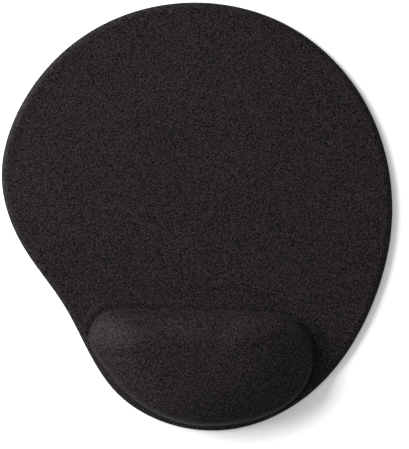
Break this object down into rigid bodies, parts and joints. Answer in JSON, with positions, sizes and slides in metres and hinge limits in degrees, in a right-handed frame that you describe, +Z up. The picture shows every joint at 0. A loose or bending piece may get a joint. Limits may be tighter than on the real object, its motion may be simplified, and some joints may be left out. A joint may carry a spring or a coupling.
{
  "type": "mouse mat with wrist rest",
  "caption": "Flat fabric-covered mouse mat with an egg-shaped outline and a raised, kidney-shaped gel wrist rest along its front edge.",
  "frame": {"origin": "on the desk, under the middle of the mat's bounding box", "axes": "+Z up from the desk, +Y away from the user along the mat's length, +X to the user's right; the wrist rest is at -Y"},
  "size_m": [0.21, 0.2301, 0.02],
  "materials": {
    "base_rubber": "matt, finely textured",
    "adhesive": "cloudy film",
    "foam": "closed-cell foam",
    "pouch_film": "clear film",
    "gel": "clear soft gel",
    "cover_knit": "fine matt knit"
  },
  "bodies": {
    "root": {"nonslip_base": "base_rubber", "base_bond_film": "adhesive", "foam_core": "foam", "gel_base_film": "pouch_film", "gel_core": "gel", "gel_top_film": "pouch_film", "cover_bond_film": "adhesive", "cover_fabric": "cover_knit"}
  },
  "joints": []
}
